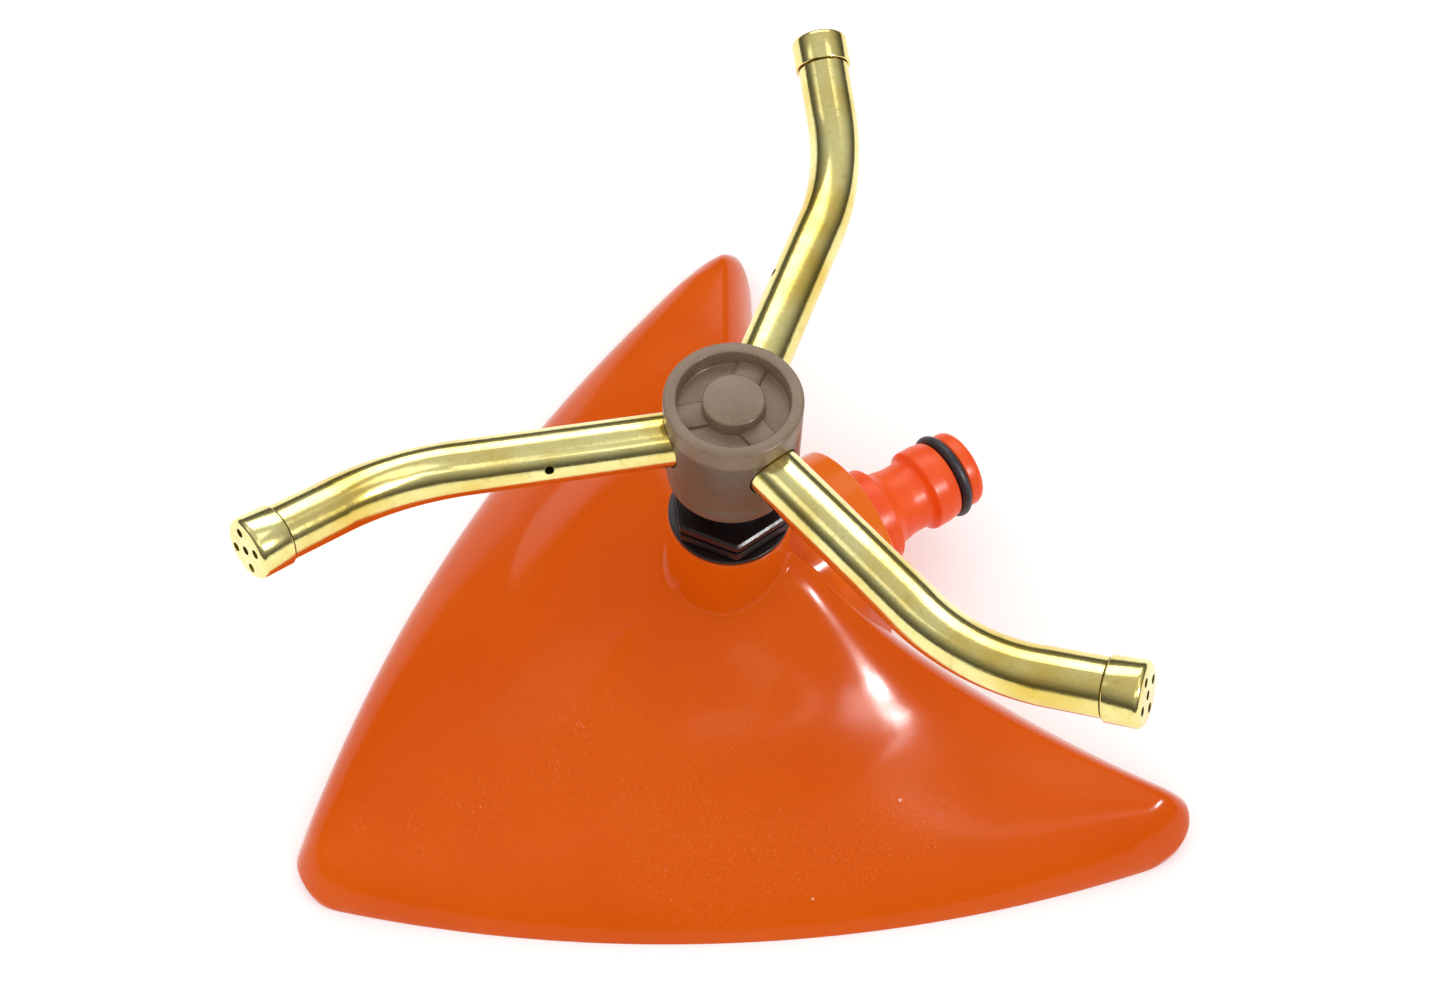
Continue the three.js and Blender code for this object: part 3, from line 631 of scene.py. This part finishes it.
def tube_tree():
    """Sweeps a round wall along a line of points, and keeps how far along and around each point lies."""
    t = Tree("bent tube", [("Radius", "NodeSocketFloat"), ("Bore", "NodeSocketFloat"),
                           ("Sides", "NodeSocketInt"), ("Material", "NodeSocketMaterial")])
    line = t.node("GeometryNodeMeshToCurve", Mesh=t.start.outputs[0])
    upright = t.node("GeometryNodeSetCurveNormal", {"mode": "MINIMUM_TWIST"}, Curve=line.outputs[0])
    place = t.node("GeometryNodeSplineParameter")
    kept = t.node("GeometryNodeStoreNamedAttribute", {"data_type": "FLOAT", "domain": "POINT"},
                  Geometry=upright.outputs[0], Name="along", Value=place.outputs["Length"])
    skins = []
    for label in ("Radius", "Bore"):
        circle = t.node("GeometryNodeCurvePrimitiveCircle", Resolution=t.given("Sides"),
                        Radius=t.given(label))
        round_at = t.node("GeometryNodeSplineParameter")
        marked = t.node("GeometryNodeStoreNamedAttribute", {"data_type": "FLOAT", "domain": "POINT"},
                        Geometry=circle.outputs[0], Name="around", Value=round_at.outputs["Factor"])
        sweep = t.node("GeometryNodeCurveToMesh", Curve=kept.outputs[0], Profile_Curve=marked.outputs[0])
        skins.append(sweep.outputs[0])
    turned_in = t.node("GeometryNodeFlipFaces", Mesh=skins[1])
    both = t.node("GeometryNodeJoinGeometry")
    t.tree.links.new(skins[0], both.inputs[0])
    t.tree.links.new(turned_in.outputs[0], both.inputs[0])
    t.close(both.outputs[0])
    return t


def jets_tree():
    """Round cutters: one in the middle and four on a circle round it."""
    t = Tree("cap jets", [("Circle", "NodeSocketFloat"), ("Jet", "NodeSocketFloat"),
                          ("Depth", "NodeSocketFloat"), ("Material", "NodeSocketMaterial")])
    four = t.node("GeometryNodeMeshCircle", Vertices=4, Radius=t.given("Circle"))
    middle = t.node("GeometryNodeMeshLine", Count=1)
    spots = t.node("GeometryNodeJoinGeometry")
    t.tree.links.new(four.outputs[0], spots.inputs[0])
    t.tree.links.new(middle.outputs[0], spots.inputs[0])
    drill = t.node("GeometryNodeMeshCylinder", Vertices=32, Radius=t.given("Jet"), Depth=t.given("Depth"))
    placed = t.node("GeometryNodeInstanceOnPoints", Points=spots.outputs[0], Instance=drill.outputs[0])
    t.close(placed.outputs[0])
    return t


def line_object(name, points):
    """An object that is only a line of points, given in mm."""
    mesh = bpy.data.meshes.new(name)
    joins = [(k, k + 1) for k in range(len(points) - 1)]
    mesh.from_pydata([tuple(Vector(p) * MM) for p in points], joins, [])
    obj = bpy.data.objects.new(name, mesh)
    bpy.context.scene.collection.objects.link(obj)
    return obj


def arm_tube(i, sweep, material):
    """One bent tube with a side jet."""
    last = OUTER_L - CAP_L - 0.3
    points, bent, axis, _, _ = arm_line(i, TUBE_START, last)
    tube = line_object(f"tube_{i + 1}", points)
    sweep.run(tube, Radius=TUBE_R * MM, Bore=TUBE_BORE_R * MM, Sides=96, Material=material)
    close_ends(tube.data, points)
    flatten(tube, points, bent, axis)
    drill = turned("drill", [(0, 1.5, 0), (SIDE_JET_R, 1.5, 0), (SIDE_JET_R, 8, 0), (0, 8, 0)], sides=40,
                   place=onto_arm(i) @ Matrix.Translation((SIDE_JET_AT, 0, 0))
                   @ Matrix.Rotation(math.radians(SIDE_JET_RISE), 4, "X")
                   @ Matrix.Rotation(-math.pi / 2, 4, "X"))
    combined(tube, drill, "DIFFERENCE")
    tube.data.set_sharp_from_angle(angle=math.radians(40))
    return tube


def close_ends(mesh, points):
    """Joins the outer and inner walls of a tube with a flat ring at each end."""
    bm = bmesh.new()
    bm.from_mesh(mesh)
    rims = [e for e in bm.edges if e.is_boundary]
    for end in (points[0], points[-1]):
        near = [e for e in rims if (e.verts[0].co - Vector(end) * MM).length < 8 * MM]
        bmesh.ops.bridge_loops(bm, edges=near)
    bmesh.ops.recalc_face_normals(bm, faces=bm.faces)
    bm.to_mesh(mesh)
    bm.free()


def flatten(tube, points, bent, axis):
    """Squeezes the tube a little in the plane of its bend, as bending does."""
    line = np.array([tuple(p) for p in points])
    share = np.array(bent)
    tangent = np.gradient(line, axis=0)
    tangent /= np.linalg.norm(tangent, axis=1)[:, None]
    normal = np.cross(np.array(axis), tangent)
    mesh = tube.data
    co = np.zeros(len(mesh.vertices) * 3)
    mesh.vertices.foreach_get("co", co)
    co = co.reshape(-1, 3) / MM
    for lo in range(0, len(co), 4000):
        part = co[lo:lo + 4000]
        nearest = np.argmin(((part[:, None] - line[None]) ** 2).sum(2), 1)
        off = part - line[nearest]
        side = (off * normal[nearest]).sum(1)
        up = off @ np.array(axis)
        k = share[nearest]
        part += (normal[nearest] * (side * -0.045 * k)[:, None]
                 + np.array(axis)[None] * (up * 0.035 * k)[:, None])
    mesh.vertices.foreach_set("co", (co * MM).ravel())
    mesh.update()


def onto_tip(i, length):
    """The matrix that stands a body made about +Z on an arm's outer axis."""
    _, _, _, corner_at, d2 = arm_line(i, TUBE_START, OUTER_L)
    turn = Vector((0, 0, 1)).rotation_difference(d2).to_matrix().to_4x4()
    return Matrix.Translation(corner_at + d2 * length) @ turn


def arm_cap(i, jets, material):
    """One end cap with five jets."""
    start = OUTER_L - CAP_L
    cap = turned(f"cap_{i + 1}", [
        (4.55, start, 0.1),
        (CAP_R - 0.06, start, 0.22),
        (CAP_R, OUTER_L, 0.95),
        (0, OUTER_L, 0),
        (0, OUTER_L - CAP_FACE_T, 0),
        (4.55, OUTER_L - CAP_FACE_T, 0.3),
    ], sides=128, place=onto_tip(i, 0), crease=45)
    drills = line_object("drills", [(0, 0, 0)])
    jets.run(drills, Circle=JET_CIRCLE * MM, Jet=JET_R * MM, Depth=6 * MM, Material=material)
    place = onto_tip(i, OUTER_L) @ Matrix.Rotation(math.radians(CAP_TURN[i]), 4, "Z")
    place.translation *= MM
    drills.data.transform(place)
    combined(cap, drills, "DIFFERENCE")
    cap.data.set_sharp_from_angle(angle=math.radians(40))
    return cap


# ---------------------------------------------------------------- shader maths
class Value:
    """A shader socket that can be used in sums; each sum adds a Math node."""

    def __init__(self, shader, socket):
        self.shader, self.socket = shader, socket

    def _math(self, operation, *values):
        inputs = {f"_{k}": value for k, value in enumerate(values)}
        made = self.shader.node("ShaderNodeMath", {"operation": operation}, **inputs)
        return Value(self.shader, made.outputs[0])

    def __add__(self, o): return self._math("ADD", self, o)
    def __radd__(self, o): return self._math("ADD", o, self)
    def __sub__(self, o): return self._math("SUBTRACT", self, o)
    def __mul__(self, o): return self._math("MULTIPLY", self, o)
    def __rmul__(self, o): return self._math("MULTIPLY", o, self)
    def absolute(self): return self._math("ABSOLUTE", self)
    def least(self, o): return self._math("MINIMUM", self, o)

    def ramp(self, lo, hi, out_lo=0.0, out_hi=1.0):
        """This value carried smoothly from one span to another."""
        made = self.shader.node("ShaderNodeMapRange", {"interpolation_type": "SMOOTHSTEP"},
                                _0=self.socket, _1=lo, _2=hi, _3=out_lo, _4=out_hi)
        return Value(self.shader, made.outputs[0])


class Shader:
    """A material with a Principled surface, and short ways to add nodes to it."""

    def __init__(self, name, **constants):
        self.material = bpy.data.materials.new(name)
        self.material.use_nodes = True
        self.nodes, self.links = self.material.node_tree.nodes, self.material.node_tree.links
        self.nodes.clear()
        self.surface = self.node("ShaderNodeBsdfPrincipled")
        end = self.node("ShaderNodeOutputMaterial")
        self.links.new(self.surface.outputs[0], end.inputs[0])
        for label, value in constants.items():
            self.surface.inputs[label.replace("_", " ")].default_value = value
        self.place = self.node("ShaderNodeTexCoord").outputs["Object"]

    def node(self, kind, settings=None, **inputs):
        made = self.nodes.new(kind)
        for key, value in (settings or {}).items():
            setattr(made, key, value)
        for key, value in inputs.items():
            socket = made.inputs[int(key[1:])] if key[0] == "_" else made.inputs[key.replace("_", " ")]
            value = value.socket if isinstance(value, Value) else value
            if isinstance(value, bpy.types.NodeSocket):
                self.links.new(value, socket)
            else:
                socket.default_value = value
        return made

    def noise(self, scale, detail=3.0, roughness=0.5, at=None):
        made = self.node("ShaderNodeTexNoise", Vector=at or self.place, Scale=scale, Detail=detail,
                         Roughness=roughness)
        return Value(self, made.outputs["Fac"])

    def cells(self, scale):
        made = self.node("ShaderNodeTexVoronoi", Vector=self.place, Scale=scale)
        return Value(self, made.outputs["Distance"])

    def laid(self, turn, scale):
        """The place, turned and stretched for a pattern."""
        turn = [math.radians(a) for a in turn]
        return self.node("ShaderNodeMapping", Vector=self.place, Rotation=turn, Scale=scale).outputs[0]

    def axis(self, index):
        return Value(self, self.node("ShaderNodeSeparateXYZ", Vector=self.place).outputs[index])

    def attribute(self, name):
        return Value(self, self.node("ShaderNodeAttribute", {"attribute_name": name}).outputs["Fac"])

    def blend(self, factor, a, b):
        """A colour between two colours."""
        made = self.node("ShaderNodeMix", {"data_type": "RGBA"}, _0=factor, _6=a, _7=b)
        return made.outputs[2]

    def finish(self, colour=None, rough=None, bump=None, depth=1.0, coat=None):
        """Feeds the surface and returns the material. Depth is the bump's height in mm."""
        for label, value in (("Base Color", colour), ("Roughness", rough), ("Coat Weight", coat)):
            if value is not None:
                socket = value.socket if isinstance(value, Value) else value
                self.links.new(socket, self.surface.inputs[label])
        if bump is not None:
            made = self.node("ShaderNodeBump", Height=bump, Distance=depth * MM, Strength=1.0)
            self.links.new(made.outputs[0], self.surface.inputs["Normal"])
        return self.material


def rgb(r, g, b):
    """A display colour, 0 to 255, as the linear colour that a socket takes."""
    out = []
    for c in (r, g, b):
        c = c / 255
        out.append(c / 12.92 if c <= 0.04045 else ((c + 0.055) / 1.055) ** 2.4)
    return (*out, 1.0)


# ---------------------------------------------------------------- materials
def scratches(s, turn, length, width, density):
    """Thin straight scratches in one direction: 1 on a scratch and 0 off it."""
    at = s.laid(turn=turn, scale=(1 / (length * MM), 1 / (width * MM), 1 / (width * MM)))
    line = s.noise(1.0, detail=1.0, roughness=0.4, at=at)
    return line.ramp(density, density + 0.05)


def orange_shell():
    """Glossy moulded orange plastic with faint flow marks, rub marks and small chips, and a painted
    highlight that lightens the inlet housing.
    """
    s = Shader("orange_shell_looks", Specular_IOR_Level=0.12, Coat_Roughness=0.12, Coat_IOR=1.5)
    cloud = s.noise(18, 3, 0.5)
    speck = s.noise(1500, 2, 0.6)
    colour = s.blend(cloud.ramp(0.35, 0.7), rgb(216, 84, 5), rgb(223, 93, 8))
    colour = s.blend(speck.ramp(0.3, 0.7) * 0.25, colour, rgb(205, 70, 4))
    # Painted highlight: the inlet housing is made lighter and yellower, standing in for the light that
    # falls on its top.
    housing = s.axis(1).ramp(0.012, 0.018) * s.axis(0).absolute().ramp(0.024, 0.017)
    colour = s.blend(housing * 0.7, colour, rgb(248, 122, 30))
    fine = (scratches(s, (8, 20, 35), 26, 0.22, 0.70)
            + scratches(s, (-12, 5, -50), 18, 0.16, 0.72)
            + scratches(s, (0, -18, 80), 22, 0.18, 0.73)).least(1.0)
    rubbed = s.noise(30, 2, 0.5).ramp(0.5, 0.68)
    chips = s.cells(160).ramp(0.08, 0.04) * s.noise(45, 1).ramp(0.66, 0.74)
    colour = s.blend(fine * rubbed * 0.28, colour, rgb(255, 190, 150))
    colour = s.blend(chips * 0.7, colour, rgb(255, 214, 180))
    rough = 0.13 + cloud * 0.05 + fine * rubbed * 0.2 + chips * 0.3
    height = s.noise(60, 2, 0.4) * 0.9 + s.noise(420, 2, 0.5) * 0.08 - fine * rubbed * 0.05
    grazing = Value(s, s.node("ShaderNodeLayerWeight", Blend=0.5).outputs["Facing"])
    return s.finish(colour, rough, height, 0.10, coat=grazing.ramp(0.55, 0.95, 0.0, 0.6))


def hose_plastic():
    """Moulded red-orange plastic, softer in gloss than the base."""
    s = Shader("hose_plastic_looks", Specular_IOR_Level=0.25)
    cloud = s.noise(120, 3, 0.5)
    colour = s.blend(cloud.ramp(0.3, 0.7), rgb(246, 80, 14), rgb(251, 93, 22))
    wear = s.noise(900, 2, 0.6).ramp(0.62, 0.75)
    colour = s.blend(wear * 0.25, colour, rgb(255, 130, 90))
    return s.finish(colour, 0.27 + cloud * 0.10 + wear * 0.1, s.noise(260, 3, 0.5), 0.05)


def black_rubber():
    """Black rubber with a dusty bloom."""
    s = Shader("black_rubber_looks", Specular_IOR_Level=0.5)
    bloom = s.noise(700, 4, 0.6)
    colour = s.blend(bloom.ramp(0.4, 0.75), rgb(34, 30, 37), rgb(58, 53, 60))
    return s.finish(colour, 0.36 + bloom * 0.18, bloom, 0.03)


def black_gloss():
    """Glossy black plastic, tinted red as a painted reflection of the orange base, with fine moulding
    marks and scattered specks of dust.
    """
    s = Shader("black_gloss_looks", Specular_IOR_Level=0.4)
    dust = s.noise(1400, 3, 0.6).ramp(0.66, 0.76)
    # Painted reflection: the near-black colour is tinted red to stand in for the orange base reflected in
    # the nut's sides, on every face alike; the pale patches are dust.
    colour = s.blend(dust * 0.5, rgb(26, 12, 13), rgb(112, 84, 90))
    return s.finish(colour, 0.24 + s.noise(320, 2) * 0.14 + dust * 0.2, s.noise(520, 3, 0.5), 0.05)


def black_inner():
    """Plain moulded black plastic."""
    s = Shader("black_inner_looks")
    grain = s.noise(1200, 3, 0.6)
    colour = s.blend(grain, rgb(30, 30, 33), rgb(44, 44, 47))
    return s.finish(colour, 0.42 + grain * 0.15, grain, 0.04)


def white_washer():
    """Plain white plastic."""
    s = Shader("white_washer_looks")
    cloud = s.noise(400, 3, 0.5)
    colour = s.blend(cloud, rgb(218, 214, 204), rgb(235, 232, 224))
    return s.finish(colour, 0.4 + cloud * 0.1, cloud, 0.02)


def taupe_hub():
    """Glossy taupe plastic with a faint pale grain, and painted shade on the drum's side."""
    s = Shader("taupe_hub_looks", Specular_IOR_Level=0.3)
    cloud = s.noise(160, 3, 0.5)
    grain = s.noise(2600, 2, 0.6)
    colour = s.blend(cloud.ramp(0.3, 0.7), rgb(124, 102, 82), rgb(134, 112, 92))
    colour = s.blend(grain.ramp(0.45, 0.75) * 0.3, colour, rgb(158, 136, 114))
    # Painted shade: the drum's side below the dish, and the ring under it, are darkened to stand in for
    # the shade that falls there.
    wall = s.axis(2).ramp(0.0868, 0.0860)
    colour = s.blend(wall * 0.8, colour, rgb(92, 72, 56))
    height = grain * 0.25 + s.noise(350, 3, 0.5)
    return s.finish(colour, 0.20 + cloud * 0.10 + grain * 0.05, height, 0.05)


def brass(name, drawn):
    """Bright yellow plating with a fine mottled grain, and draw lines along a tube."""
    s = Shader(name, Metallic=1.0)
    mottle = s.noise(900, 4, 0.62)
    tarnish = s.noise(55, 3, 0.55)
    colour = s.blend(tarnish.ramp(0.35, 0.72), rgb(247, 238, 166), rgb(230, 198, 92))
    colour = s.blend(mottle.ramp(0.52, 0.72) * 0.35, colour, rgb(206, 184, 84))
    pits = s.cells(1100).ramp(0.16, 0.06) * s.noise(300, 2).ramp(0.58, 0.70)
    colour = s.blend(pits * 0.6, colour, rgb(110, 92, 40))
    rough = 0.10 + mottle * 0.08 + tarnish * 0.04 + pits * 0.2
    height = mottle * 0.5 + s.noise(2400, 2, 0.6) * 0.25
    if drawn:
        height = height + s.noise(1.0, 2, 0.5, at=drawn_lines(s)) * 0.4
    return s.finish(colour, rough, height, 0.028)


def drawn_lines(s):
    """A pattern space that is long along the tube and short around it."""
    made = s.node("ShaderNodeCombineXYZ", X=s.attribute("along") * 60.0,
                  Y=s.attribute("around") * 90.0, Z=0.0)
    return made.outputs[0]


# ---------------------------------------------------------------- stage, light and camera
def stage():
    floor = piece_from("floor", [(-2500, -2500, 0), (2500, -2500, 0), (2500, 2500, 0), (-2500, 2500, 0)],
                       [(0, 1, 2, 3)])
    floor.data.transform(Matrix.Translation((0, 0, -0.0001)))
    s = Shader("pale_floor", Specular_IOR_Level=0.1, Emission_Color=(1, 1, 1, 1), Emission_Strength=0.12)
    grain = s.noise(900, 2, 0.5)
    floor.data.materials.append(s.finish(s.blend(grain, rgb(250, 250, 250), rgb(253, 253, 253)),
                                         0.9 + grain * 0.02))
    world = bpy.data.worlds.new("studio")
    bpy.context.scene.world = world
    bpy.context.scene.view_settings.view_transform = "Standard"
    world.use_nodes = True
    tree = world.node_tree
    background = tree.nodes["Background"]
    background.inputs[0].default_value = (1.0, 1.0, 1.0, 1.0)
    way = tree.nodes.new("ShaderNodeTexCoord")
    split = tree.nodes.new("ShaderNodeSeparateXYZ")
    rise = tree.nodes.new("ShaderNodeMapRange")
    rise.interpolation_type = "SMOOTHSTEP"
    for k, value in ((1, 0.05), (2, 0.95), (3, 0.06), (4, 0.62)):
        rise.inputs[k].default_value = value
    path = tree.nodes.new("ShaderNodeLightPath")
    room = tree.nodes.new("ShaderNodeMix")
    dome = tree.nodes.new("ShaderNodeMapRange")
    for k, value in ((1, 0.0), (2, 1.0), (3, 0.5), (4, 1.32)):
        dome.inputs[k].default_value = value
    tree.links.new(split.outputs[2], dome.inputs[0])
    tree.links.new(dome.outputs[0], room.inputs[2])
    tree.links.new(way.outputs["Generated"], split.inputs[0])
    tree.links.new(split.outputs[2], rise.inputs[0])
    tree.links.new(path.outputs["Is Glossy Ray"], room.inputs[0])
    tree.links.new(rise.outputs[0], room.inputs[3])
    tree.links.new(room.outputs[0], background.inputs[1])


def softbox(name, azimuth, elevation, distance, size, radiance):
    """A rectangular light in one direction from the object, turned towards it."""
    data = bpy.data.lights.new(name, "AREA")
    data.shape = "RECTANGLE"
    data.size, data.size_y = size
    data.energy = math.pi * radiance * size[0] * size[1]
    lamp = bpy.data.objects.new(name, data)
    bpy.context.scene.collection.objects.link(lamp)
    az, el = math.radians(azimuth), math.radians(elevation)
    way = Vector((math.cos(el) * math.cos(az), math.cos(el) * math.sin(az), math.sin(el)))
    lamp.location = Vector((0, 0, 0.04)) + way * distance
    lamp.rotation_mode = "QUATERNION"
    lamp.rotation_quaternion = way.to_track_quat("Z", "Y")
    lamp.visible_diffuse = False


def lights():
    softbox("key", 26, 38, 0.8, (0.085, 0.045), 380.0)
    for k, (azimuth, elevation, radiance) in enumerate(((18, 43, 24.0), (6, 50, 5.0), (-8, 49, 2.0))):
        softbox(f"key_tail_{k}", azimuth, elevation, 0.85, (0.11, 0.06), radiance)
    softbox("overhead", 55, 69, 0.9, (0.45, 0.25), 1.0)
    softbox("back_left", 150, 46, 0.9, (0.85, 0.45), 2.6)
    softbox("left", -125, 42, 0.9, (0.30, 0.25), 0.7)
    softbox("front", -35, 57.6, 0.9, (0.34, 0.24), 1.5)


def camera():
    data = bpy.data.cameras.new("camera")
    data.lens, data.sensor_width = 43.91, 36.0
    data.shift_x, data.shift_y = 0.0008, 0.0001
    data.clip_start, data.clip_end = 0.01, 20
    eye = bpy.data.objects.new("camera", data)
    bpy.context.scene.collection.objects.link(eye)
    right = Vector((0.54451772, 0.83860698, 0.01545263))
    up = Vector((-0.71311859, 0.45318072, 0.534873))
    back = Vector((0.44154539, -0.30226739, 0.84479115))
    turn = Matrix((right, up, back)).transposed().to_4x4()
    eye.matrix_world = Matrix.Translation((0.140736, -0.098285, 0.331519)) @ turn
    bpy.context.scene.camera = eye


# ---------------------------------------------------------------- the object
def dressed(obj, material, body, slot, *nodes):
    """Gives a piece its material and its moving body, and hides the CAD nodes it stands for. The record
    slot is not used.
    """
    obj.data.materials.clear()
    obj.data.materials.append(material)
    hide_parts(*nodes)
    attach(obj, body)


def carried(node, material):
    """A CAD node that stays, with a better material."""
    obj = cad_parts[node]
    obj.data.materials.clear()
    obj.data.materials.append(material)


def build():
    camera()
    stage()
    lights()
    rubber, black, brass_tube = black_rubber(), black_gloss(), brass("brass_tube_looks", True)
    taupe, washer, brass_cap = taupe_hub(), white_washer(), brass("brass_cap_looks", False)
    dressed(base_shell(), orange_shell(), "base", "orange_shell", "base_shell")
    dressed(hose_connector(), hose_plastic(), "base", "red_orange_connector", "inlet_connector")
    dressed(o_ring(), rubber, "base", "black_rubber", "connector_o_ring")
    dressed(gland_nut(), black, "base", "black_gloss", "gland_nut")
    dressed(nut_washer(), black, "base", "black_gloss", "nut_washer")
    dressed(hub(), taupe, "head", "taupe_hub", "rotor_hub")
    dressed(hub_ring(), taupe, "head", "taupe_hub", "hub_bottom_ring")
    sweep, jets = tube_tree(), jets_tree()
    for i in range(3):
        dressed(arm_tube(i, sweep, brass_tube), brass_tube, "head", "brass_tube", f"arm_tube_{i + 1}")
        dressed(arm_cap(i, jets, brass_cap), brass_cap, "head", "brass_cap", f"arm_cap_{i + 1}")
        carried(f"arm_seal_{i + 1}", rubber)
    carried("water_post", black_inner())
    carried("inlet_gasket", rubber)
    carried("gland_seal", rubber)
    carried("spindle", black)
    carried("thrust_washer_lower", washer)
    carried("thrust_washer_upper", washer)


build()
